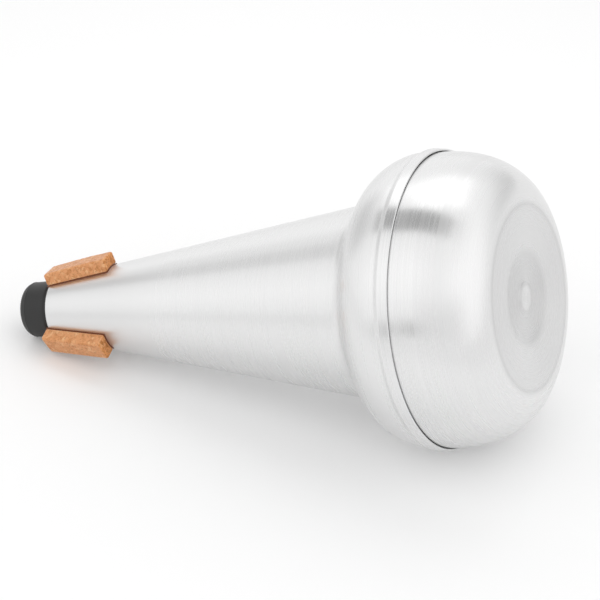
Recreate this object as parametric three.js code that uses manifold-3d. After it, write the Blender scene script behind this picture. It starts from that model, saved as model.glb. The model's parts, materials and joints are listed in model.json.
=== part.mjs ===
// A trombone mute: a spun aluminium cone and bowl, closed by a pressed-in end cap,
// with a moulded rubber tip in the small end and three cork strips beside it.
// Millimetres, +Z up. The mute lies on its side, resting on its collar and its tip,
// with the closed end towards +X. Places along the mute start at the front of the tip.

import * as THREE from 'three';
import { mergeVertices } from 'three/addons/utils/BufferGeometryUtils.js';
import Module from 'manifold-3d';

// Spun sheet
const sheet = 0.8;

// Cone, measured outside, from its mouth to the bowl
const coneSmallRadius = 12.8;
const coneLargeRadius = 40;
const coneLength = 146.7;
const neckBlend = 5;

// Rounded front of the bowl, and the collar that the cap is pressed into
const bowlDepth = 22.6;
const bowlRoundness = 1.85;
const collarRadius = 60;
const collarStep = 1.2;
const collarStepLength = 1.8;
const collarLength = 4.1;
const collarTaper = 0.4;
const lipRound = 0.3;

// End cap, with the ring that it stands on, its dish, its well and its centre mark
const capSideLength = 2.2;
const capShoulderDepth = 32;
const capRoundness = 2.16;
const standRadius = 36;
const standWidth = 2;
const dishRadius = 19.5;
const dishDepth = 0.9;
const wellRadius = 15.5;
const wellDepth = 0.9;
const markRadius = 5.5;
const markEdge = 1.5;
const markRise = 0.5;

// Rubber tip, which stands out of the cone's mouth by its length
const tipLength = 13.8;
const boreRadius = 7.5;
const noseRadius = 11.25;
const noseLength = 4.1;
const noseDrop = 3.2;
const noseRoundness = 2;
const spigotLength = 8;
const spigotLeadIn = 1;

// Cork strips, cut by hand, which reach over the cone's mouth a little
const corkLength = 30;
const corkWidth = 9.6;
const corkThickness = 5.3;
const corkReach = 0.8;
const corkNoseLength = 20;
const corkNoseRoundness = 1.2;
const corkTurn = THREE.MathUtils.degToRad(-36.8);

// Each strip's height at its nose, as a share of its thickness, and how far it is
// glued askew
const corkNoseShares = [0.64, 0.86, 0.99];
const corkSkews = [0, 0, 3.6].map((skew) => THREE.MathUtils.degToRad(skew));

// Gaps between pieces, and how finely the round shapes are faceted
const fitGap = 0.3;
const facets = 48;
const shoulderSteps = 10;
const noseSteps = 5;
const blendSteps = 4;

// Radii and places that follow from the sizes above
const coneSlope = (coneLargeRadius - coneSmallRadius) / coneLength;
const coneAngle = Math.atan(coneSlope);
const coneWall = sheet / Math.cos(coneAngle);
const coneEnd = tipLength + coneLength;
const bowlRadius = collarRadius - collarStep;
const bowlEnd = coneEnd + bowlDepth;
const collarCrest = bowlEnd + collarStepLength;
const collarEnd = collarCrest + collarLength;
const lipRadius = collarRadius - collarTaper;
const capRadius = lipRadius - sheet - fitGap;
const capShoulderStart = collarEnd + capSideLength;
const standPlane = capShoulderStart + capShoulderDepth;

// The outside radius of the cone.
function coneRadius(place) {
  return coneSmallRadius + coneSlope * (place - tipLength);
}

// A point of an outline: x is its radius and y its place along the mute.
function at(place, radius) {
  return new THREE.Vector2(radius, place);
}

// A quarter of a rounded shoulder, from the point where it runs along the mute to
// the point where it faces an end. Roundness 2 is an ellipse, and less is flatter.
function shoulder(side, face, roundness, steps) {
  const points = [];
  for (let i = 0; i <= steps; i += 1) {
    const turn = (i / steps) * (Math.PI / 2);
    const placeShare = Math.sin(turn) ** (2 / roundness);
    const radiusShare = 1 - Math.cos(turn) ** (2 / roundness);
    const place = THREE.MathUtils.lerp(side.y, face.y, placeShare);
    points.push(at(place, THREE.MathUtils.lerp(side.x, face.x, radiusShare)));
  }
  return points;
}

// A solid turned about the mute's axis, which lies along +X, with one facet facing
// straight down. The outline starts and ends on the axis, or closes on itself.
function turned(outline) {
  return new THREE.LatheGeometry(outline, facets, Math.PI / facets).rotateZ(-Math.PI / 2);
}

function ring(outline) {
  return turned([...outline, outline[0]]);
}

// The neck between cone and bowl, and the bowl's rounded front, at a depth under
// the outer skin.
function bowlFront(depth) {
  const side = at(bowlEnd, bowlRadius - depth);
  const root = at(coneEnd + depth, coneRadius(coneEnd + depth) - depth / Math.cos(coneAngle));
  const front = shoulder(side, root, bowlRoundness, shoulderSteps).reverse();
  const joined = front.filter((point) => point.x > root.x + neckBlend);
  const before = at(root.y - neckBlend, root.x - coneSlope * neckBlend);
  const neck = new THREE.QuadraticBezierCurve(before, root, joined[0]);
  return [...neck.getPoints(blendSteps), ...joined.slice(1)];
}

// One wall of sheet from the mouth of the cone to the lip of the collar.
function bodyShell() {
  const outside = [
    at(tipLength, coneSmallRadius),
    ...bowlFront(0),
    at(collarCrest, collarRadius),
    at(collarEnd - lipRound, lipRadius),
    at(collarEnd, lipRadius - lipRound),
  ];
  const inside = [
    at(tipLength, coneSmallRadius - coneWall),
    ...bowlFront(sheet),
    at(collarCrest, collarRadius - sheet),
    at(collarEnd, lipRadius - sheet),
  ];
  return ring([...outside, ...inside.reverse()]);
}

// The cap's wall at a depth under its outer skin, from its rim to the axis. The rim
// stops at the slope inside the collar.
function capWall(depth) {
  const slopeShare = (capRadius - bowlRadius + sheet) / collarStep;
  const rim = bowlEnd + collarStepLength * slopeShare + fitGap;
  const radius = capRadius - depth;
  const plane = standPlane - depth;
  const well = plane - dishDepth - wellDepth;
  return [
    at(rim, radius),
    ...shoulder(at(capShoulderStart, radius), at(plane, standRadius), capRoundness, shoulderSteps),
    at(plane, standRadius - standWidth),
    at(plane - dishDepth, dishRadius),
    at(well, wellRadius),
    at(well, markRadius + markEdge),
    at(well + markRise, markRadius),
    at(well + markRise, 0),
  ];
}

function endCap() {
  return turned([...capWall(sheet).reverse(), ...capWall(0)]);
}

// The tip's rounded front, from its flat ring round the bore to its side.
function noseOutline() {
  const side = at(noseLength, noseRadius);
  const face = at(0, noseRadius - noseDrop);
  return shoulder(side, face, noseRoundness, noseSteps).reverse();
}

function rubberTip() {
  const spigotRadius = coneSmallRadius - coneWall - fitGap;
  const spigotEnd = tipLength + spigotLength;
  return ring([
    ...noseOutline(),
    at(tipLength, spigotRadius),
    at(spigotEnd - spigotLeadIn, spigotRadius),
    at(spigotEnd, spigotRadius - spigotLeadIn),
    at(spigotEnd, boreRadius),
    at(0, boreRadius),
  ]);
}

const wasm = await Module();
wasm.setup();

function solid(geometry) {
  const bare = geometry.clone();
  bare.deleteAttribute('normal');
  bare.deleteAttribute('uv');
  const merged = mergeVertices(bare);
  const mesh = new wasm.Mesh({
    numProp: 3,
    vertProperties: merged.attributes.position.array,
    triVerts: new Uint32Array(merged.index.array),
  });
  return new wasm.Manifold(mesh);
}

function geometryOf(manifold) {
  const mesh = manifold.getMesh();
  const geometry = new THREE.BufferGeometry();
  geometry.setAttribute('position', new THREE.BufferAttribute(mesh.vertProperties, 3));
  geometry.setIndex(new THREE.BufferAttribute(mesh.triVerts, 1));
  const flat = geometry.toNonIndexed();
  flat.computeVertexNormals();
  return flat;
}

// What the inside of a strip is hollowed to: the cone and its gap, as one solid.
function coneSeat() {
  const gap = fitGap / Math.cos(coneAngle);
  return turned([
    at(0, 0),
    at(0, coneRadius(0) + gap),
    at(coneEnd, coneRadius(coneEnd) + gap),
    at(coneEnd, 0),
  ]);
}

// A straight strip with a flat back, rounded down towards the tip, laid along the cone
// above the axis and hollowed to sit on it. Before that its sides reach half its width
// into the cone, which is deep enough at any radius that the strip fits on.
function corkStrip(noseShare, skew) {
  const top = at(corkNoseLength, corkThickness);
  const front = at(0, corkThickness * noseShare);
  const nose = shoulder(top, front, corkNoseRoundness, noseSteps);
  const underside = -corkWidth / 2;
  const side = new THREE.Shape([
    ...nose.map((point) => new THREE.Vector2(point.y, point.x)),
    new THREE.Vector2(0, underside),
    new THREE.Vector2(corkLength, underside),
    new THREE.Vector2(corkLength, corkThickness),
  ]);
  const start = tipLength - corkReach;
  const strip = new THREE.ExtrudeGeometry(side, { depth: corkWidth, bevelEnabled: false });
  strip.translate(-corkLength / 2, 0, -corkWidth / 2);
  strip.rotateY(skew);
  strip.translate(corkLength / 2, 0, 0);
  strip.rotateZ(coneAngle);
  strip.translate(start, coneRadius(start), 0);
  return geometryOf(solid(strip).subtract(solid(coneSeat())));
}

function finish(color, roughness, metalness) {
  return new THREE.MeshStandardMaterial({ color, roughness, metalness });
}

function piece(name, geometry, material) {
  const mesh = new THREE.Mesh(geometry, material);
  mesh.name = name;
  return mesh;
}

const aluminium = finish(0xdcddde, 0.32, 1);
const rubber = finish(0x3f4041, 0.7, 0);
const cork = finish(0xc98a5c, 0.85, 0);

const mute = new THREE.Group();
mute.add(piece('body_shell', bodyShell(), aluminium));
mute.add(piece('end_cap', endCap(), aluminium));
mute.add(piece('tip_bumper', rubberTip(), rubber));
corkNoseShares.forEach((noseShare, i) => {
  const strip = piece(`cork_strip_${i + 1}`, corkStrip(noseShare, corkSkews[i]), cork);
  strip.rotation.x = corkTurn + (i * 2 * Math.PI) / corkNoseShares.length;
  mute.add(strip);
});

// Lying down, a facet of the collar's crest and one of the nose touch the surface.
function restSlope() {
  const low = [...noseOutline(), at(tipLength, coneSmallRadius)];
  const slopes = low.map((point) => (collarRadius - point.x) / (collarCrest - point.y));
  return Math.min(...slopes) * Math.cos(Math.PI / facets);
}

mute.rotation.y = -Math.atan(restSlope());

const model = new THREE.Group();
model.add(mute);
model.updateMatrixWorld(true);
const box = new THREE.Box3().setFromObject(mute, true);
const centre = box.getCenter(new THREE.Vector3());
mute.position.set(-centre.x, -centre.y, -box.min.z);
model.updateMatrixWorld(true);

export default model;
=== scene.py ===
"""A trombone mute of spun aluminium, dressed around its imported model.

A cone and a bowl in one spun sheet, a pressed-in end cap, a moulded rubber tip and three
cork strips. The mute lies on its side on a pale floor. Sizes in the classes are
millimetres along and round the mute's own axis, and every mesh ends up in metres in the
row frame.
"""

from __future__ import annotations

import json
import logging
import math
from dataclasses import dataclass
from enum import Enum
from itertools import product
from typing import Any, Callable, Iterable

import bmesh
import bpy
from bmesh.types import BMesh, BMVert
from bpy.types import Material, Node, NodeSocket, NodeTree, Object
from mathutils import Matrix, Quaternion, Vector, noise


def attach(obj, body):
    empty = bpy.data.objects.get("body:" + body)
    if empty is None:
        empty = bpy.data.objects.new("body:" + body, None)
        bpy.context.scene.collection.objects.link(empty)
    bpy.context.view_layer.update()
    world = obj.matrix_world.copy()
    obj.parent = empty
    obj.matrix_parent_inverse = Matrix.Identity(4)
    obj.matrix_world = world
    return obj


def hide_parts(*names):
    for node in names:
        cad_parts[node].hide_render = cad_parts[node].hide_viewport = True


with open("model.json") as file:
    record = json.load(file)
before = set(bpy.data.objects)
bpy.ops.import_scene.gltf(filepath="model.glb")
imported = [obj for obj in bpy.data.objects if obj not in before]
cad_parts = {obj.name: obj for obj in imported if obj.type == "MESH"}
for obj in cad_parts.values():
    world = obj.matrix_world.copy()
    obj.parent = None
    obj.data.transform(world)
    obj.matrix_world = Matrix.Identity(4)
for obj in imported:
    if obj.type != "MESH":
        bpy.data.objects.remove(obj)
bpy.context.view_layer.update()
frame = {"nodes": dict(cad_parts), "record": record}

log = logging.getLogger("trombone_mute")

METRES = 0.001
UV_NAME = "spun"
# The numbers of the two inputs that a Mix node takes colours from
COLOUR_A, COLOUR_B = 6, 7
# How a Map Range node eases in and out
SMOOTH = {"interpolation_type": "SMOOTHSTEP"}

Point = tuple[float, float]
Outline = list[Point]
Steps = tuple[int, ...]


class Slot(Enum):
    """The record's material slots."""

    ALUMINIUM = "spun_aluminium"
    RUBBER = "black_rubber"
    CORK = "cork"


def linear(colour: str) -> tuple[float, float, float, float]:
    """Turn an sRGB hex colour into the linear colour that shaders take.

    Args:
        colour: Six hex digits after a hash sign.

    Returns:
        Linear red, green and blue, and an alpha of 1.
    """
    parts = [int(colour[i : i + 2], 16) / 255 for i in (1, 3, 5)]
    red, green, blue = (
        part / 12.92 if part <= 0.04045 else ((part + 0.055) / 1.055) ** 2.4 for part in parts
    )
    return red, green, blue, 1.0


def add_node(
    tree: NodeTree,
    kind: str,
    inputs: dict[str | int, Any] | tuple[Any, ...] = (),
    **settings: Any,
) -> Node:
    """Add a node to a tree, with its settings and its inputs.

    Args:
        tree: The tree that gets the node.
        kind: The node's type, without the word ShaderNode.
        inputs: What goes into each input, by its name or number, or in the inputs' order.
            An output is linked, so is the first output in use of another node, and
            anything else is set as the value.
        **settings: The node's own properties.

    Returns:
        The new node.
    """
    node = tree.nodes.new("ShaderNode" + kind)
    for name, value in settings.items():
        setattr(node, name, value)
    given = inputs if isinstance(inputs, dict) else dict(enumerate(inputs))
    for key, value in given.items():
        if isinstance(value, Node):
            value = next(output for output in value.outputs if output.enabled)
        if isinstance(value, NodeSocket):
            tree.links.new(value, node.inputs[key])
        else:
            node.inputs[key].default_value = value
    return node


def new_material(name: str) -> Material:
    """Make an empty node material.

    Args:
        name: The material's name.

    Returns:
        The new material.
    """
    material = bpy.data.materials.new(name)
    material.use_nodes = True
    material.node_tree.nodes.clear()
    return material


@dataclass(frozen=True)
class MuteAxes:
    """The mute's own axes: X along its axis from the front of the tip, and Y level."""

    origin: Vector
    along: Vector

    @classmethod
    def from_frame(cls) -> MuteAxes:
        """Find the axes from the record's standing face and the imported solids.

        Returns:
            The axes.
        """
        mounts = frame["record"]["mounts"]
        along = Vector(next(m["axis"] for m in mounts if m["name"] == "standing_face"))
        shell = frame["nodes"]["body_shell"].data.vertices
        corners = {tuple(round(c, 6) for c in vertex.co) for vertex in shell}
        middle = sum((Vector(corner) for corner in corners), Vector()) / len(corners)
        tip = frame["nodes"]["tip_bumper"].data.vertices
        front = min((vertex.co - middle).dot(along) for vertex in tip)
        return cls(middle + along * front, along)

    @property
    def matrix(self) -> Matrix:
        """The way from the mute's own millimetres to the row frame.

        Returns:
            The matrix, which gives metres.
        """
        level = Vector((0, 1, 0))
        turn = Matrix((self.along, level, self.along.cross(level))).transposed()
        return Matrix.Translation(self.origin) @ turn.to_4x4() @ Matrix.Scale(METRES, 4)


def own_coordinates(tree: NodeTree, axes: MuteAxes) -> Node:
    """Give a material the mute's own coordinates, in metres.

    Args:
        tree: The material's node tree.
        axes: The mute's axes.

    Returns:
        The node that holds the coordinates.
    """
    place = add_node(tree, "TexCoord").outputs["Object"]
    tilt = math.atan2(axes.along.z, axes.along.x)
    mapping = {"Vector": place, "Location": axes.origin, "Rotation": (0, -tilt, 0)}
    return add_node(tree, "Mapping", mapping, vector_type="TEXTURE")


@dataclass(frozen=True)
class SpunAluminium:
    """Aluminium sheet, spun on a lathe and brushed round the axis.

    The brushing runs round the mute, so highlights stretch along it in soft bright and
    grey bands, and fine rings break up the edges of those bands.
    """

    colour: str = "#E7E7E7"
    dull_colour: str = "#E5E5E5"
    roughness: float = 0.27
    roughness_spread: float = 0.09
    anisotropy: float = 0.85
    # A quarter turn from the UV direction, which runs round the mute.
    brushing_turn: float = 0.25
    # Lines left by an abrasive pad are about 0.1 mm apart, which no pixel shows, so the
    # pattern is drawn with rings about 0.7 mm apart.
    ring_spacing: float = 0.7
    ring_depth: float = 0.0015
    # Pressure of the pad and of the spinning tool varies over a few millimetres.
    band_spacing: float = 6
    band_share: float = 0.4
    streak_length: float = 200
    # The small end is rubbed rougher, so that the corks' cement keys to it.
    keyed_end: float = 45
    keyed_fade: float = 30
    keyed_roughness: float = 0.08
    # The cap's side is brushed with a coarser pad. The rest keeps a share of the pattern.
    coarse_middle: float = 200
    coarse_reach: float = 10
    coarse_fade: float = 12
    calm: float = 0.3
    # The closed end is coloured darker than the spun sides.
    end_place: float = 218
    end_radius: float = 38
    end_edge: float = 2
    end_share: float = 0.55
    # Painted shade: a dark line round the crest of the standing ring.
    crest_outer: float = 37.6
    crest_inner: float = 36.2
    crest_edge: float = 1
    crest_shade_share: float = 0.4
    # The well is coloured darker still.
    dark_well_radius: float = 18
    dark_well_edge: float = 4
    dark_well_share: float = 0.8
    darker_end_and_shade_colour: str = "#D0D0D0"
    # Painted highlight: a lighter spot at the centre.
    centre_highlight_radius: float = 5
    centre_highlight_edge: float = 1.5
    centre_highlight_share: float = 0.9

    def material(self, axes: MuteAxes) -> Material:
        """Make the material.

        Args:
            axes: The mute's axes.

        Returns:
            The new material.
        """
        material = new_material("Spun_and_brushed_aluminium")
        tree = material.node_tree
        own = add_node(tree, "SeparateXYZ", (own_coordinates(tree, axes),))
        rings = self._streaks(tree, own, self.ring_spacing, 3)
        bands = self._streaks(tree, own, self.band_spacing, 2)
        both = add_node(tree, "Mix", {"Factor": self.band_share, "A": rings, "B": bands})
        coarse = (self.coarse_middle, self.coarse_reach, self.coarse_fade)
        share = self._along(tree, own, coarse, 1, self.calm)
        # Calmer brushing keeps nearer to the middle of the pattern's range.
        both = add_node(tree, "Mix", {"Factor": share, "A": 0.5, "B": both})
        tones = {"Factor": both, COLOUR_A: linear(self.colour), COLOUR_B: linear(self.dull_colour)}
        sides = add_node(tree, "Mix", tones, data_type="RGBA")
        # The closed end is coloured darker, with painted shade on the crest and a painted highlight
        # at its centre.
        zone = self._end_tone_and_painted_light(tree, own)
        tones = {"Factor": zone, COLOUR_A: sides, COLOUR_B: linear(self.darker_end_and_shade_colour)}
        colour = add_node(tree, "Mix", tones, data_type="RGBA")
        low = self.roughness - self.roughness_spread
        high = self.roughness + self.roughness_spread
        polish = add_node(tree, "MapRange", {"Value": both, "To Min": low, "To Max": high})
        small_end = (0, self.keyed_end, self.keyed_fade)
        keyed = self._along(tree, own, small_end, self.keyed_roughness, 0)
        roughness = add_node(tree, "Math", (polish, keyed), operation="ADD")
        depth = self.ring_depth * METRES
        surface = {
            "Base Color": colour,
            "Metallic": 1.0,
            "Roughness": roughness,
            "Anisotropic": self.anisotropy,
            "Anisotropic Rotation": self.brushing_turn,
            "Tangent": add_node(tree, "Tangent", direction_type="UV_MAP", uv_map=UV_NAME),
            "Normal": add_node(tree, "Bump", {"Height": rings, "Distance": depth}),
        }
        add_node(tree, "OutputMaterial", {"Surface": add_node(tree, "BsdfPrincipled", surface)})
        return material

    @staticmethod
    def _along(
        tree: NodeTree,
        own: Node,
        stretch: tuple[float, float, float],
        inside: float,
        outside: float,
    ) -> Node:
        """Give one stretch of the mute another value than the rest.

        Args:
            tree: The material's node tree.
            own: The node that splits the mute's own coordinates.
            stretch: The stretch's middle, how far it reaches and how far it fades out.
            inside: The value in the stretch.
            outside: The value beyond it.

        Returns:
            The node that holds the value.
        """
        middle, reach, fade = (size * METRES for size in stretch)
        away = add_node(tree, "Math", (own.outputs["X"], middle), operation="SUBTRACT")
        distance = add_node(tree, "Math", (away,), operation="ABSOLUTE")
        limits = (distance, reach, reach + fade, inside, outside)
        return add_node(tree, "MapRange", limits, **SMOOTH)

    def _end_tone_and_painted_light(self, tree: NodeTree, own: Node) -> Node:
        """Find how much darker the closed end is coloured, with a painted dark line of shade on the
        crest and a painted highlight at the centre.

        Args:
            tree: The material's node tree.
            own: The node that splits the mute's own coordinates.

        Returns:
            The node that holds the share of the darker colour, clipped to 1 by what uses it.
        """
        across = add_node(tree, "CombineXYZ", {1: own.outputs["Y"], 2: own.outputs["Z"]})
        radius = add_node(tree, "VectorMath", (across,), operation="LENGTH")
        # Rings of darker colour: the end, a painted dark line of shade on the crest, the well, and
        # a lighter painted highlight at the centre.
        zones = (
            (self.end_radius, self.end_edge, self.end_share),
            (self.crest_outer, self.crest_edge, self.crest_shade_share),
            (self.crest_inner, self.crest_edge, -self.crest_shade_share),
            (self.dark_well_radius, self.dark_well_edge, self.dark_well_share),
            (self.centre_highlight_radius, self.centre_highlight_edge, -self.centre_highlight_share),
        )
        total: float | Node = 0.0
        for reach, edge, inside in zones:
            limits = (radius, (reach - edge) * METRES, (reach + edge) * METRES, inside, 0.0)
            share = add_node(tree, "MapRange", limits, **SMOOTH)
            total = add_node(tree, "Math", (total, share), operation="ADD")
        start = self.end_place * METRES
        behind = add_node(tree, "Math", (own.outputs["X"], start), operation="GREATER_THAN")
        return add_node(tree, "Math", (total, behind), operation="MULTIPLY")

    def _streaks(self, tree: NodeTree, own: Node, spacing: float, detail: float) -> Node:
        """Add a pattern of streaks that run round the mute.

        Args:
            tree: The material's node tree.
            own: The node that splits the mute's own coordinates.
            spacing: How far apart the streaks are.
            detail: How many finer octaves the pattern has.

        Returns:
            The node that holds the pattern, from 0 to 1.
        """
        skin = add_node(tree, "SeparateXYZ", (add_node(tree, "UVMap", uv_map=UV_NAME),))
        across = add_node(tree, "Math", (skin.outputs["Y"], 1 / spacing), operation="MULTIPLY")
        slow = 1 / (self.streak_length * METRES)
        turns = (
            add_node(tree, "Math", (own.outputs[axis], slow), operation="MULTIPLY") for axis in "YZ"
        )
        place = add_node(tree, "CombineXYZ", (across, *turns))
        settings = {"Vector": place, "Scale": 1.0, "Detail": detail, "Roughness": 0.6}
        pattern = add_node(tree, "TexNoise", settings)
        # The noise keeps near its middle, so its own range is stretched to 0 and 1.
        return add_node(tree, "MapRange", (pattern, 0.3, 0.7))


@dataclass(frozen=True)
class MouldedRubber:
    """Black rubber, moulded and left as it came out of the mould.

    It is nearly black, and a broad dull sheen makes it dark grey under a bright sky.
    """

    colour: str = "#1A1A1A"
    ior: float = 1.52
    # The mould's spark-eroded skin has a grain of about 0.3 mm.
    grain: float = 0.3
    grain_depth: float = 0.01
    # Wax sweats out in paler patches of about 6 mm, some duller and some smoother.
    bloom: float = 5.556
    waxy_colour: str = "#232323"
    smoothest: float = 0.42
    dullest: float = 0.56

    def material(self, axes: MuteAxes) -> Material:
        """Make the material.

        Args:
            axes: The mute's axes.

        Returns:
            The new material.
        """
        material = new_material("Moulded_black_rubber")
        tree = material.node_tree
        place = own_coordinates(tree, axes)
        fine, broad = (1 / (size * METRES) for size in (self.grain, self.bloom))
        grain = add_node(tree, "TexNoise", {"Vector": place, "Scale": fine, "Detail": 2.0})
        bloom = add_node(tree, "TexNoise", {"Vector": place, "Scale": broad, "Detail": 3.0})
        tones = {"Factor": bloom, COLOUR_A: linear(self.colour), COLOUR_B: linear(self.waxy_colour)}
        dullness = {"Value": bloom, "To Min": self.smoothest, "To Max": self.dullest}
        depth = self.grain_depth * METRES
        surface = {
            "Base Color": add_node(tree, "Mix", tones, data_type="RGBA"),
            "Roughness": add_node(tree, "MapRange", dullness),
            "IOR": self.ior,
            "Normal": add_node(tree, "Bump", {"Height": grain, "Distance": depth}),
        }
        add_node(tree, "OutputMaterial", {"Surface": add_node(tree, "BsdfPrincipled", surface)})
        return material


@dataclass(frozen=True)
class AgglomeratedCork:
    """Granules of cork, pressed together with a binder, cut and sanded.

    Every granule has its own tan, dark seams and pits lie between them, and the surface
    scatters light without a highlight.
    """

    name: str = "Cut_and_sanded_cork"
    pale: str = "#EAB98A"
    middle: str = "#DF9F6F"
    dark: str = "#CB8A58"
    # Where these lie in the run of granules, with a wide middle.
    stops: tuple[float, ...] = (0.12, 0.42, 0.62, 0.92)
    # The granules, the unevenness of their outlines, and the seams of binder between them.
    granule: float = 1.4
    unevenness: float = 1.111
    shift: float = 0.6
    seam_width: float = 0.07
    seam_share: float = 0.55
    # The grain that sandpaper leaves.
    grit: float = 0.3846
    grit_share: float = 0.3
    grit_depth: float = 0.12
    # Torn-out granules leave pits, more of them where the cork is cut across.
    pit: str = "#9A5C2E"
    pit_size: float = 0.9091
    pit_start: float = 0.6
    pit_edge: float = 0.06
    pit_share: float = 0.35
    roughness: float = 0.85
    ior: float = 1.45
    gloss: float = 0.25
    # The fuzz of a sanded face looks paler where it is seen at a low angle.
    fuzz: float = 0.6
    fuzz_roughness: float = 0.3

    def material(self, axes: MuteAxes) -> Material:
        """Make the material.

        Args:
            axes: The mute's axes.

        Returns:
            The new material.
        """
        material = new_material(self.name)
        tree = material.node_tree
        place = own_coordinates(tree, axes)
        scale, bends, grains, tears = (
            1 / (mm * METRES) for mm in (self.granule, self.unevenness, self.grit, self.pit_size)
        )
        wobble = add_node(tree, "TexNoise", {"Vector": place, "Scale": bends, "Detail": 2.0})
        shift = Vector((1, 1, 1)) * self.shift * METRES
        bent = add_node(
            tree, "VectorMath", (wobble.outputs["Color"], shift, place), operation="MULTIPLY_ADD"
        )
        cells = add_node(tree, "TexVoronoi", {"Vector": bent, "Scale": scale})
        seams = add_node(
            tree, "TexVoronoi", {"Vector": bent, "Scale": scale}, feature="DISTANCE_TO_EDGE"
        )
        tone = add_node(tree, "SeparateXYZ", (cells.outputs["Color"],))
        sanding = {"Vector": place, "Scale": grains, "Detail": 3.0, "Roughness": 0.65}
        fine = add_node(tree, "TexNoise", sanding)
        blend = add_node(tree, "Mix", {"Factor": self.grit_share, "A": tone, "B": fine})
        seam = add_node(tree, "MapRange", (seams, 0.0, self.seam_width, self.seam_share, 0.0))
        ramp = add_node(tree, "ValToRGB", (blend,))
        tans = ramp.color_ramp.elements
        for stop, tan in zip(self.stops, (self.dark, self.middle, self.middle, self.pale)):
            tans.new(stop).color = linear(tan)
        for unused in (tans[-1], tans[0]):
            tans.remove(unused)
        tones = {"Factor": seam, COLOUR_A: ramp, COLOUR_B: linear(self.dark)}
        granules = add_node(tree, "Mix", tones, data_type="RGBA")
        torn = add_node(tree, "TexNoise", {"Vector": place, "Scale": tears, "Detail": 1.5})
        start, end = self.pit_start - self.pit_edge, self.pit_start + self.pit_edge
        limits = (torn, start, end, 0.0, self.pit_share)
        pits = add_node(tree, "MapRange", limits, **SMOOTH)
        tones = {"Factor": pits, COLOUR_A: granules, COLOUR_B: linear(self.pit)}
        relief = {"Height": fine, "Strength": 0.8, "Distance": self.grit_depth * METRES}
        surface = {
            "Base Color": add_node(tree, "Mix", tones, data_type="RGBA"),
            "Roughness": self.roughness,
            "IOR": self.ior,
            "Specular IOR Level": self.gloss,
            "Sheen Weight": self.fuzz,
            "Sheen Roughness": self.fuzz_roughness,
            "Normal": add_node(tree, "Bump", relief),
        }
        add_node(tree, "OutputMaterial", {"Surface": add_node(tree, "BsdfPrincipled", surface)})
        return material


@dataclass(frozen=True)
class DriedGlueAndShade:
    """Contact cement, brushed on and dried.

    A thin brown film that fills the joint under a strip of cork. Its dark brown along the strip's
    foot is partly the cement and partly painted shade in that crease.
    """

    colour: str = "#6B3A20"
    thin_colour: str = "#8A5230"
    roughness: float = 0.4
    ior: float = 1.5
    # It dries in blobs of about 1.4 mm.
    blob: float = 1.429
    blob_height: float = 0.1

    def material(self, axes: MuteAxes) -> Material:
        """Make the material.

        Args:
            axes: The mute's axes.

        Returns:
            The new material.
        """
        material = new_material("Dried_contact_cement_and_shade")
        tree = material.node_tree
        place = own_coordinates(tree, axes)
        scale = 1 / (self.blob * METRES)
        blobs = add_node(tree, "TexNoise", {"Vector": place, "Scale": scale, "Detail": 2.0})
        tones = {"Factor": blobs, COLOUR_A: linear(self.colour), COLOUR_B: linear(self.thin_colour)}
        height = self.blob_height * METRES
        surface = {
            "Base Color": add_node(tree, "Mix", tones, data_type="RGBA"),
            "Roughness": self.roughness,
            "IOR": self.ior,
            "Normal": add_node(tree, "Bump", {"Height": blobs, "Distance": height}),
        }
        add_node(tree, "OutputMaterial", {"Surface": add_node(tree, "BsdfPrincipled", surface)})
        return material


def shoulder(side: Point, face: Point, roundness: float, steps: int) -> Outline:
    """Draw a quarter of a rounded shoulder.

    Args:
        side: The place and radius where it runs along the mute.
        face: The place and radius where it faces an end.
        roundness: 2 for an ellipse, and less for a flatter one.
        steps: How many straight steps it has.

    Returns:
        Its points, from side to face.
    """
    points = []
    for i in range(steps + 1):
        turn = i / steps * math.pi / 2
        place_share = math.sin(turn) ** (2 / roundness)
        radius_share = 1 - max(math.cos(turn), 0.0) ** (2 / roundness)
        place = side[0] + (face[0] - side[0]) * place_share
        points.append((place, side[1] + (face[1] - side[1]) * radius_share))
    return points


def bend(before: Point, corner: Point, after: Point, steps: int) -> Outline:
    """Draw a smooth bend that starts and ends along the two lines of a corner.

    Args:
        before: Where the bend starts.
        corner: The corner that it rounds off.
        after: Where it ends.
        steps: How many straight steps it has.

    Returns:
        Its points, from before to after.
    """
    ends = (before, corner, after)
    points = []
    for i in range(steps + 1):
        share = i / steps
        weights = ((1 - share) ** 2, 2 * share * (1 - share), share**2)
        points.append(tuple(sum(w * end[k] for w, end in zip(weights, ends)) for k in (0, 1)))
    return points


def rounded(points: Outline, radii: dict[int, float], steps: int) -> Outline:
    """Round off some corners of an outline.

    Args:
        points: The outline's corners.
        radii: How far from the corner each bend starts, by the corner's number.
        steps: How many straight steps each bend has.

    Returns:
        The outline with its bends.
    """
    outline: Outline = []
    for i, point in enumerate(points):
        if i not in radii:
            outline.append(point)
            continue
        corner = Vector(point)
        last, following = Vector(points[i - 1]), Vector(points[(i + 1) % len(points)])
        before = corner + (last - corner).normalized() * radii[i]
        after = corner + (following - corner).normalized() * radii[i]
        outline += bend(tuple(before), point, tuple(after), steps)
    return outline


def refined(outline: Outline, step: float, closed: bool) -> Outline:
    """Split long straight stretches of an outline.

    Args:
        outline: The outline's points.
        step: The longest stretch that stays whole.
        closed: Whether the last point joins the first.

    Returns:
        The outline with the new points.
    """
    points: Outline = []
    ends = outline[1:] + outline[:closed]
    for start, end in zip(outline, ends):
        parts = max(1, math.ceil(math.dist(start, end) / step))
        points += [
            (start[0] + (end[0] - start[0]) * k / parts, start[1] + (end[1] - start[1]) * k / parts)
            for k in range(parts)
        ]
    return points if closed else [*points, outline[-1]]


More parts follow.
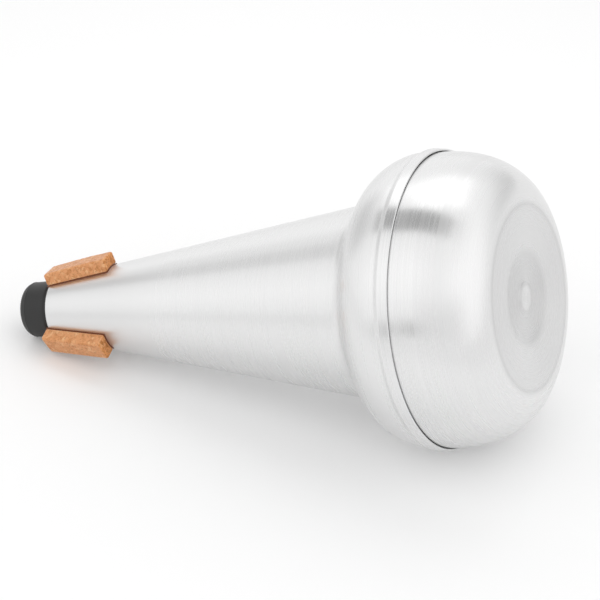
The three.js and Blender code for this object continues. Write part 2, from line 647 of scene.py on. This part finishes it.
def turned(outline: Outline, matrix: Matrix, closed: bool, turns: int) -> BMesh:
    """Turn an outline about the mute's axis.

    Args:
        outline: The places and radii of the outline's points. One that isn't closed
            starts and ends on the axis.
        matrix: From the mute's own millimetres to the row frame.
        closed: Whether the last point joins the first.
        turns: How many faces go round.

    Returns:
        The mesh, with a UV map that has the turn in U and millimetres in V.
    """
    mesh = bmesh.new()
    angles = [2 * math.pi * k / turns for k in range(turns)]
    rings = []
    for place, radius in outline:
        at_axis = radius < 1e-6
        ring = [(radius * math.cos(a), radius * math.sin(a)) for a in angles]
        points = [(0, 0)] if at_axis else ring
        rings.append([mesh.verts.new(matrix @ Vector((place, *point))) for point in points])
    layer = mesh.loops.layers.uv.new(UV_NAME)
    count = len(rings)
    skin = 0.0
    for i in range(count if closed else count - 1):
        low, high = rings[i], rings[(i + 1) % count]
        step = math.dist(outline[i], outline[(i + 1) % count])
        for k in range(turns):
            following = k + 1
            corners = [
                (low[k % len(low)], k, skin),
                (high[k % len(high)], k, skin + step),
                (high[following % len(high)], following, skin + step),
                (low[following % len(low)], following, skin),
            ]
            unique = [c for n, c in enumerate(corners) if c[0] is not corners[n - 1][0]]
            face = mesh.faces.new([corner[0] for corner in unique])
            face.smooth = True
            for loop, (_, turn, height) in zip(face.loops, unique):
                at_pole = len(low if height == skin else high) == 1
                loop[layer].uv = ((turn if not at_pole else k + 0.5) / turns, height)
        skin += step
    bmesh.ops.recalc_face_normals(mesh, faces=mesh.faces)
    return mesh


def box_skin(counts: list[int], place: Callable[[Steps], Vector]) -> BMesh:
    """Build the skin of a box from a grid on each of its six sides.

    Args:
        counts: How many steps the grid has along each axis.
        place: Turns a grid point's steps into its place.

    Returns:
        The mesh, whose faces at the far end of the first axis take the second material.
    """
    mesh = bmesh.new()
    grid: dict[Steps, BMVert] = {}
    for axis in range(3):
        first, second = [k for k in range(3) if k != axis]
        for end, i, j in product((0, counts[axis]), range(counts[first]), range(counts[second])):
            corners = []
            for di, dj in ((0, 0), (1, 0), (1, 1), (0, 1)):
                steps = [0, 0, 0]
                steps[axis], steps[first], steps[second] = end, i + di, j + dj
                key = tuple(steps)
                if key not in grid:
                    grid[key] = mesh.verts.new(place(key))
                corners.append(grid[key])
            face = mesh.faces.new(corners)
            face.smooth = True
            face.material_index = 1 if axis == 0 and end else 0
    bmesh.ops.recalc_face_normals(mesh, faces=mesh.faces)
    mesh.normal_update()
    return mesh


def finished(name: str, mesh: BMesh, sharp_angle: float = 40) -> Object:
    """Make an object of a mesh that is already in the row frame.

    Args:
        name: The piece's name.
        mesh: The mesh, which is used up.
        sharp_angle: Edges that turn by more degrees than this show as edges.

    Returns:
        The new object.
    """
    data = bpy.data.meshes.new(name)
    mesh.to_mesh(data)
    mesh.free()
    data.set_sharp_from_angle(angle=math.radians(sharp_angle))
    piece = bpy.data.objects.new(name, data)
    bpy.context.scene.collection.objects.link(piece)
    return piece


def dress(piece: Object, finishes: Iterable[Material], slot: Slot, *nodes: str) -> None:
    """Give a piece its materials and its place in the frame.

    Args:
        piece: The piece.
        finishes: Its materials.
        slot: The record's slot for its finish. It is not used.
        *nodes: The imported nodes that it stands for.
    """
    for material in finishes:
        piece.data.materials.append(material)
    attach(piece, "root")
    if nodes:
        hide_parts(*nodes)
    log.info("%s: %d faces", piece.name, len(piece.data.polygons))


@dataclass(frozen=True)
class Cone:
    """The outer skin of the cone, from its mouth to the bowl."""

    mouth: float = 13.8
    mouth_radius: float = 12.8
    root: float = 160.5
    root_radius: float = 40

    @property
    def slope(self) -> float:
        """How much the radius grows along the axis."""
        return (self.root_radius - self.mouth_radius) / (self.root - self.mouth)

    @property
    def lean(self) -> float:
        """The angle between the skin and the axis, in radians."""
        return math.atan(self.slope)

    def radius(self, place: float) -> float:
        """The radius of the outer skin at a place."""
        return self.mouth_radius + self.slope * (place - self.mouth)


@dataclass
class TurnedPiece:
    """A piece turned about the mute's axis, with its name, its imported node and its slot."""

    axes: MuteAxes
    name: str = ""
    node: str = ""
    slot: Slot = Slot.ALUMINIUM
    # Whether the outline joins up, its longest straight stretch, and the faces round it.
    closed: bool = True
    step: float = 4
    turns: int = 240

    def outline(self) -> Outline:
        """Draw the piece's section, which each kind of piece does for itself.

        Returns:
            The outline, from the axis to the axis where it doesn't join up.
        """
        raise NotImplementedError

    def build(self, finish: Material) -> None:
        """Build and dress the piece.

        Args:
            finish: Its material.
        """
        points = refined(self.outline(), self.step, self.closed)
        mesh = turned(points, self.axes.matrix, self.closed, self.turns)
        dress(finished(self.name, mesh), [finish], self.slot, self.node)


@dataclass
class BodyShell(TurnedPiece):
    """Cone, neck and the bowl's front in one spun sheet, with a swaged collar."""

    name: str = "Body_shell"
    node: str = "body_shell"
    cone: Cone = Cone()
    sheet: float = 0.8
    neck_blend: float = 5
    bowl_end: float = 183.1
    bowl_radius: float = 58.8
    bowl_roundness: float = 1.85
    # The bowl comes to the collar's step along a short line, almost level.
    lead_in: float = 3
    lead_rise: float = 0.05
    step_round: float = 0.6
    collar_crest: float = 184.9
    collar_radius: float = 60
    collar_end: float = 189
    lip_radius: float = 59.6
    lip_round: float = 0.35

    def _front(self, depth: float) -> Outline:
        """Draw the neck and the bowl's front.

        Args:
            depth: How deep the line lies under the outer skin.

        Returns:
            The outline, from the cone to the collar's step.
        """
        place = self.cone.root + depth
        root = (place, self.cone.radius(place) - depth / math.cos(self.cone.lean))
        side = (self.bowl_end, self.bowl_radius - depth)
        front = shoulder(side, root, self.bowl_roundness, steps=48)[::-1]
        kept = [point for point in front if point[1] > root[1] + self.neck_blend]
        before = (root[0] - self.neck_blend, root[1] - self.cone.slope * self.neck_blend)
        return bend(before, root, kept[0], steps=12) + kept[1:-1]

    def _collar(self, depth: float) -> Outline:
        """Draw the collar's step and side.

        Args:
            depth: How deep the line lies under the outer skin.

        Returns:
            The outline, from the step to the lip.
        """
        corners = [
            (self.bowl_end - self.lead_in, self.bowl_radius - self.lead_rise - depth),
            (self.bowl_end, self.bowl_radius - depth),
            (self.collar_crest, self.collar_radius - depth),
            (self.collar_end, self.lip_radius - depth),
        ]
        return rounded(corners, {1: self.step_round, 2: self.step_round}, steps=8)[1:]

    def outline(self) -> Outline:
        """Draw the whole wall.

        Returns:
            The closed outline.
        """
        mouth = (self.cone.mouth, self.cone.mouth_radius)
        inner_mouth = (mouth[0], mouth[1] - self.sheet / math.cos(self.cone.lean))
        outside = [mouth, *self._front(0), *self._collar(0)]
        inside = [inner_mouth, *self._front(self.sheet), *self._collar(self.sheet)]
        last = len(outside) - 1
        ring = outside + inside[::-1]
        edges = (0, last, last + 1, len(ring) - 1)
        return rounded(ring, {edge: self.lip_round for edge in edges}, steps=5)


@dataclass
class EndCap(TurnedPiece):
    """The closed end, with a standing ring, a dish, a well and a centre mark."""

    name: str = "End_cap"
    node: str = "end_cap"
    closed: bool = False
    step: float = 3
    sheet: float = 0.8
    rim: float = 184.15
    radius: float = 58.5
    shoulder_start: float = 191.2
    plane: float = 223.2
    roundness: float = 2.16
    stand_radius: float = 36
    stand_width: float = 2
    stand_round: float = 0.9
    dish_radius: float = 19.5
    dish_depth: float = 0.9
    dish_round: float = 1.8
    well_radius: float = 15.5
    well_depth: float = 0.9
    mark_radius: float = 5.5
    mark_edge: float = 1.5
    mark_rise: float = 0.5
    mark_round: float = 0.7

    def _wall(self, depth: float) -> Outline:
        """Draw one side of the wall.

        Args:
            depth: How deep the line lies under the outer skin.

        Returns:
            The outline, from the rim to the axis.
        """
        radius = self.radius - depth
        plane = self.plane - depth
        well = plane - self.dish_depth - self.well_depth
        face = (plane, self.stand_radius)
        corners = [
            face,
            (plane, self.stand_radius - self.stand_width),
            (plane - self.dish_depth, self.dish_radius),
            (well, self.well_radius),
            (well, self.mark_radius + self.mark_edge),
            (well + self.mark_rise, self.mark_radius),
            (well + self.mark_rise, 0),
        ]
        bends = dict.fromkeys((2, 3), self.dish_round) | dict.fromkeys((4, 5), self.mark_round)
        face_line = rounded(corners, bends | {1: self.stand_round}, steps=8)[1:]
        side_line = shoulder((self.shoulder_start, radius), face, self.roundness, steps=56)
        return [(self.rim, radius), *side_line, *face_line]

    def outline(self) -> Outline:
        """Draw both sides of the wall.

        Returns:
            The outline, from the axis inside to the axis outside.
        """
        return self._wall(self.sheet)[::-1] + self._wall(0)


@dataclass
class RubberTip(TurnedPiece):
    """A moulded tip, plugged into the mouth of the cone, with a bore for the air."""

    name: str = "Rubber_tip"
    node: str = "tip_bumper"
    slot: Slot = Slot.RUBBER
    step: float = 2
    turns: int = 160
    cone: Cone = Cone()
    nose_radius: float = 11.25
    nose_length: float = 4.1
    nose_drop: float = 3.2
    bore_radius: float = 7.5
    bore_round: float = 0.8
    spigot_radius: float = 11.69
    spigot_length: float = 8
    spigot_lead_in: float = 1
    # A groove beside the cone's mouth, where the mould's halves meet.
    groove_start: float = 11.8
    groove_depth: float = 0.35
    groove_edge: float = 0.6
    groove_round: float = 0.3
    floor_round: float = 0.2
    # The seam of the mould shows as a fine raised line round the nose.
    seam_place: float = 3.1
    seam_width: float = 0.25
    seam_height: float = 0.15

    def outline(self) -> Outline:
        """Draw the tip's section.

        Returns:
            The closed outline.
        """
        side = (self.nose_length, self.nose_radius)
        nose = shoulder(side, (0, side[1] - self.nose_drop), roundness=2, steps=40)[::-1]
        nose = [(place, radius + self._seam(place)) for place, radius in nose]
        end = self.cone.mouth + self.spigot_length
        floor = self.spigot_radius - self.groove_depth
        back = [
            (self.groove_start, self.spigot_radius),
            (self.groove_start + self.groove_edge, floor),
            (self.cone.mouth, floor),
            (self.cone.mouth + self.groove_edge, self.spigot_radius),
            (end - self.spigot_lead_in, self.spigot_radius),
            (end, self.spigot_radius - self.spigot_lead_in),
            (end, self.bore_radius),
            (0, self.bore_radius),
        ]
        ring = [*nose, *back]
        edge, foot, bore = len(nose), len(nose) + 1, len(ring) - 1
        bends = {edge: self.groove_round, foot: self.floor_round, bore: self.bore_round}
        return rounded(ring, bends, steps=6)

    def _seam(self, place: float) -> float:
        """How far the line left by the mould stands out at a place."""
        return self.seam_height * math.exp(-(((place - self.seam_place) / self.seam_width) ** 2))


@dataclass
class CorkStrip:
    """A strip of cork, glued along the cone, rounded down towards the tip.

    Its own millimetres have X along the cone's skin from the tip end, Y across and Z up.
    """

    axes: MuteAxes
    number: int
    nose_share: float
    skew: float
    cone: Cone = Cone()
    # The first strip's turn from the mute's own Y, and the turn from strip to strip.
    first_turn: float = -36.8
    turn_apart: float = 120
    length: float = 30
    width: float = 9.6
    thickness: float = 5.3
    gap: float = 0.3
    reach: float = 0.8
    nose_length: float = 20
    nose_roundness: float = 1.2
    edge_round: float = 1.0
    sharp_angle: float = 70
    cell: float = 0.4
    # The cut surface lies a little under the nominal one, deepest in the pits of torn-out
    # granules, but not at the foot, which the glue holds.
    roughening: float = 0.11
    foot: float = 0.3
    granules_per_mm: float = 0.9
    pit_spread: float = 1.7
    pit_start: float = 0.35
    pit_depth: float = 2.2
    # How far the glue film's edge lies inside the strip's.
    film_inset: float = 0.12

    @property
    def start(self) -> float:
        """The place where the strip starts."""
        return self.cone.mouth - self.reach

    @property
    def matrix(self) -> Matrix:
        """The way from the strip's own millimetres to the row frame.

        Returns:
            The matrix, which gives metres.
        """
        foot = Matrix.Translation((self.start, 0, self.cone.radius(self.start)))
        turn = math.radians(self.first_turn + self.turn_apart * (self.number - 1))
        about = Matrix.Rotation(turn - math.pi / 2, 4, "X")
        return self.axes.matrix @ about @ foot @ Matrix.Rotation(-self.cone.lean, 4, "Y")

    def _top(self, along: float) -> float:
        """Find the height of the strip's back.

        Args:
            along: The distance from its tip end.

        Returns:
            The height.
        """
        power = self.nose_roundness
        share = max(1 - along / self.nose_length, 0)
        worn = (1 - self.nose_share) * (1 - (1 - share**power) ** (1 / power))
        return self.thickness * (1 - worn)

    def _seat(self, along: float, across: float) -> float:
        """The height of the cone's skin and the glue beneath a point of the strip."""
        radius = self.cone.radius(self.start) + self.cone.slope * along
        return math.sqrt(max(radius**2 - across**2, 0)) - radius + self.gap

    def _skewed(self, along: float, across: float) -> Point:
        """Turn a point about the strip's middle to where it is glued.

        Args:
            along: Its distance from the tip end.
            across: Its distance from the mid-line.

        Returns:
            The same distances once it is turned.
        """
        turn = Matrix.Rotation(math.radians(self.skew), 2)
        offset = turn @ Vector((along - self.length / 2, across))
        return offset.x + self.length / 2, offset.y

    def _skin(self, steps: Steps, counts: list[int], sizes: Vector) -> Vector:
        """Place a grid point of the box's skin, with the box's edges rounded.

        Args:
            steps: The point's place in the grid.
            counts: How many steps the grid has each way.
            sizes: The box's sizes.

        Returns:
            The point in the strip's own millimetres.
        """
        box = Vector([size * step / count for size, step, count in zip(sizes, steps, counts)])
        reach = self.edge_round
        core = Vector([min(max(c, reach), size - reach) for c, size in zip(box, sizes)])
        out = box - core
        if out.length > 1e-9:
            box = core + out.normalized() * min(out.length, reach)
        along, across, up = (c / size for c, size in zip(box, sizes))
        place = self._skewed(along * self.length, (across - 0.5) * self.width)
        low, high = self._seat(*place), self._top(along * self.length)
        return Vector((*place, low + (high - low) * up))

    def _grain(self, v: BMVert) -> float:
        """Find how far the cut surface stands off its nominal place.

        Args:
            v: A point of the surface.

        Returns:
            The distance outwards.
        """
        if v.co.z < self.gap + self.foot:
            return 0.0
        # Every strip is cut from another place in the sheet of cork.
        place = v.co * self.granules_per_mm + Vector((17.0 * self.number, 0, 0))
        # Three octaves, each 2.2 times finer than the last.
        granules = noise.fractal(place, 1.0, 2.2, 3)
        pit = max(0.0, noise.noise(place * self.pit_spread) - self.pit_start)
        return -self.roughening * (0.5 + 0.5 * granules + self.pit_depth * pit)

    def mesh(self) -> BMesh:
        """Build the strip as a fine skin with rounded edges and a cut, grainy surface.

        Returns:
            The mesh, in the row frame.
        """
        sizes = Vector((self.length, self.width, self.thickness))
        counts = [max(4, round(size / self.cell)) for size in sizes]
        mesh = box_skin(counts, lambda steps: self._skin(steps, counts, sizes))
        moves = [(v, v.normal * self._grain(v)) for v in mesh.verts]
        for v, move in moves:
            v.co += move
        mesh.transform(self.matrix)
        return mesh

    def film(self) -> BMesh:
        """Build the film of glue between the cone and the strip.

        Returns:
            The mesh, in the row frame.
        """
        sizes = [size - 2 * self.film_inset for size in (self.length, self.width)]
        counts = [max(4, round(size / self.cell)) for size in (self.length, self.width)]

        def place(steps: Steps) -> Vector:
            """Place a grid point.

            Args:
                steps: The point's place in the grid.

            Returns:
                The point in the strip's own millimetres.
            """
            along = self.film_inset + sizes[0] * steps[0] / counts[0]
            across = sizes[1] * (steps[1] / counts[1] - 0.5)
            point = self._skewed(along, across)
            return Vector((*point, self._seat(*point) - self.gap * (1 - steps[2])))

        mesh = box_skin([*counts, 1], place)
        mesh.transform(self.matrix)
        return mesh

    def build(self, finishes: list[Material], glue: Material) -> None:
        """Build and dress the strip and its glue.

        Args:
            finishes: The materials of its long sides and of its cut end.
            glue: The material of the glue film.
        """
        strip = finished(f"Cork_strip_{self.number}", self.mesh(), self.sharp_angle)
        dress(strip, finishes, Slot.CORK, f"cork_strip_{self.number}")
        # The glue film shows as a dark line along the strip's foot, partly the cement and partly
        # painted shade.
        dress(finished(f"Glue_and_shade_film_{self.number}", self.film()), [glue], Slot.CORK)


# Each strip's height at its nose, as a share of its thickness, and its skew in degrees
STRIPS = ((0.64, 0), (0.86, 0), (0.99, 3.6))


@dataclass(frozen=True)
class Panel:
    """A soft-edged patch of the tent, brighter or darker than what lies behind it.

    Angles are degrees: azimuth from +X towards +Y, elevation above the floor, and the
    patch's half sizes and the half width of its edges, seen from the object.
    """

    name: str
    azimuth: float
    elevation: float
    half_width: float
    half_height: float
    edge: float
    brightness: float

    def add(self, tree: NodeTree, direction: NodeSocket, behind: Node) -> Node:
        """Lay the panel over what lies behind it.

        Args:
            tree: The world's node tree.
            direction: The direction that is looked in.
            behind: The node that holds the brightness behind the panel.

        Returns:
            The node that holds the brightness with the panel.
        """
        facing = (0, -math.radians(self.elevation), math.radians(self.azimuth))
        swung = add_node(
            tree,
            "VectorRotate",
            {"Vector": direction, "Rotation": facing},
            rotation_type="EULER_XYZ",
            invert=True,
            label=self.name,
        )
        parts = add_node(tree, "SeparateXYZ", (swung,))
        share = add_node(tree, "Math", (parts.outputs["X"], 0.0), operation="GREATER_THAN")
        for axis, half in (("Y", self.half_width), ("Z", self.half_height)):
            offset = add_node(tree, "Math", (parts.outputs[axis],), operation="ABSOLUTE")
            start, end = (math.sin(math.radians(half + side * self.edge)) for side in (-1, 1))
            limits = (offset, start, end, 1.0, 0.0)
            mask = add_node(tree, "MapRange", limits, **SMOOTH)
            share = add_node(tree, "Math", (share, mask), operation="MULTIPLY")
        return add_node(tree, "Mix", {"Factor": share, "A": behind, "B": self.brightness})


PANELS = (
    Panel("dim back corner", 65, 0, 22, 21, 16, 0.72),
    Panel("overhead soft box", 115, 55, 20, 17, 5, 1.5),
    Panel("soft box behind the closed end", 354, 32, 32, 27, 14, 1.2),
    Panel("soft box before the tip", 229, 37, 20, 20, 12, 1.19),
    Panel("dim panel before the camera", 293, 12, 32, 17, 12, 0.9),
    Panel("slit beside the overhead soft box", 172, 69, 9, 28, 2, 0.42),
    Panel("gap at the side wall's foot", 160, 11, 15, 12, 8, 0.67),
    Panel("stand of a soft box", 253, 4, 9, 6.5, 4, 0.55),
)


@dataclass
class Studio:
    """A plain pale floor in a white tent, lit softly from all round. Its sizes are metres."""

    floor_size: float = 12
    floor_colour: str = "#EEEEEE"
    floor_glow: float = 0.12
    # A painted pool of light: beyond the soft boxes' reach the floor's colour is painted a little
    # darker.
    pool_inner: float = 0.2
    pool_outer: float = 0.45
    painted_pool_dip: float = 0.08
    # How bright the tent is at the horizon and above this many degrees.
    horizon: float = 1.07
    roof: float = 1.05
    roof_start: float = 38

    def build(self) -> None:
        """Build the floor and light the scene."""
        self._floor()
        self._world()

    def _floor(self) -> None:
        """Build the floor, which shows white where nothing shades it."""
        mesh = bmesh.new()
        bmesh.ops.create_grid(mesh, x_segments=1, y_segments=1, size=self.floor_size / 2)
        floor = finished("Floor", mesh)
        material = new_material("Matt_white_paper")
        tree = material.node_tree
        place = add_node(tree, "TexCoord").outputs["Object"]
        distance = add_node(tree, "VectorMath", (place,), operation="LENGTH")
        # Painted pool of light: the floor's colour darkens away from its middle.
        pool = (distance, self.pool_inner, self.pool_outer, 1.0, 1 - self.painted_pool_dip)
        painted_pool_falloff = add_node(tree, "MapRange", pool, **SMOOTH)
        dimmed = {0: linear(self.floor_colour)[:3], "Scale": painted_pool_falloff}
        colour = add_node(tree, "VectorMath", dimmed, operation="SCALE")
        diffuse = add_node(tree, "BsdfDiffuse", {"Color": colour})
        glow = add_node(tree, "Math", (self._seen(tree), self.floor_glow), operation="MULTIPLY")
        light = add_node(tree, "Emission", {"Strength": glow})
        both = add_node(tree, "AddShader", (diffuse, light))
        add_node(tree, "OutputMaterial", {"Surface": both})
        floor.data.materials.append(material)

    @staticmethod
    def _seen(tree: NodeTree) -> Node:
        """Find where the camera sees a surface, itself or in metal or glass.

        Args:
            tree: The surface's node tree.

        Returns:
            The node that holds 1 there, and 0 elsewhere.
        """
        path = add_node(tree, "LightPath")
        seen = path.outputs["Is Camera Ray"]
        for ray in ("Is Glossy Ray", "Is Transmission Ray"):
            seen = add_node(tree, "Math", (seen, path.outputs[ray]), operation="MAXIMUM")
        return seen

    def _world(self) -> None:
        """Light the scene from a tent of soft panels."""
        world = bpy.data.worlds.new("White_tent")
        world.use_nodes = True
        tree = world.node_tree
        tree.nodes.clear()
        direction = add_node(tree, "TexCoord").outputs["Generated"]
        height = add_node(tree, "SeparateXYZ", (direction,)).outputs["Z"]
        wall = (height, 0.0, math.sin(math.radians(self.roof_start)), self.horizon, self.roof)
        brightness = add_node(tree, "MapRange", wall, **SMOOTH)
        for panel in PANELS:
            brightness = panel.add(tree, direction, brightness)
        light = {"Color": linear("#FFFFFF"), "Strength": brightness}
        add_node(tree, "OutputWorld", {"Surface": add_node(tree, "Background", light)})
        bpy.context.scene.world = world


@dataclass
class Viewpoint:
    """The photograph's point of view, with the mute's big end towards the camera.

    Angles are degrees, the distance is metres and the lens is millimetres, on the usual
    sensor of 36 mm. The camera aims at a place on the mute's axis, raised a little.
    """

    axes: MuteAxes
    azimuth: float = 21.23
    elevation: float = 33.44
    roll: float = 0.11
    distance: float = 1.8104
    aim_place: float = 123.55
    aim_rise: float = 1.28
    lens: float = 270.9

    def build(self) -> None:
        """Place the camera and make it the scene's own."""
        turn, rise = math.radians(self.azimuth), math.radians(self.elevation)
        level = math.cos(rise)
        back = Vector((math.sin(turn) * level, -math.cos(turn) * level, math.sin(rise)))
        roll = Quaternion((0, 0, 1), math.radians(self.roll))
        facing = (-back).to_track_quat("-Z", "Y") @ roll
        up = facing @ Vector((0, 1, 0))
        aim = self.axes.matrix @ Vector((self.aim_place, 0, 0)) + up * self.aim_rise * METRES
        data = bpy.data.cameras.new("Camera")
        data.lens = self.lens
        camera = bpy.data.objects.new("Camera", data)
        camera.rotation_mode = "QUATERNION"
        camera.rotation_quaternion = facing
        camera.location = aim + back * self.distance
        bpy.context.scene.collection.objects.link(camera)
        bpy.context.scene.camera = camera


def main() -> None:
    """Build the mute, its studio and the camera."""
    logging.basicConfig(level=logging.INFO, format="%(name)s: %(message)s")
    bpy.context.scene.view_settings.view_transform = "Standard"
    axes = MuteAxes.from_frame()
    aluminium = SpunAluminium().material(axes)
    BodyShell(axes).build(aluminium)
    EndCap(axes).build(aluminium)
    RubberTip(axes).build(MouldedRubber().material(axes))
    end_grain = AgglomeratedCork(
        "Cut_cork_end_grain", "#EFB986", "#E0995F", "#BC7840", pit_start=0.53, pit_share=0.5
    )
    corks = [cork.material(axes) for cork in (AgglomeratedCork(), end_grain)]
    glue = DriedGlueAndShade().material(axes)
    for number, (nose_share, skew) in enumerate(STRIPS, 1):
        CorkStrip(axes, number, nose_share, skew).build(corks, glue)
    Studio().build()
    Viewpoint(axes).build()


if __name__ == "__main__":
    main()
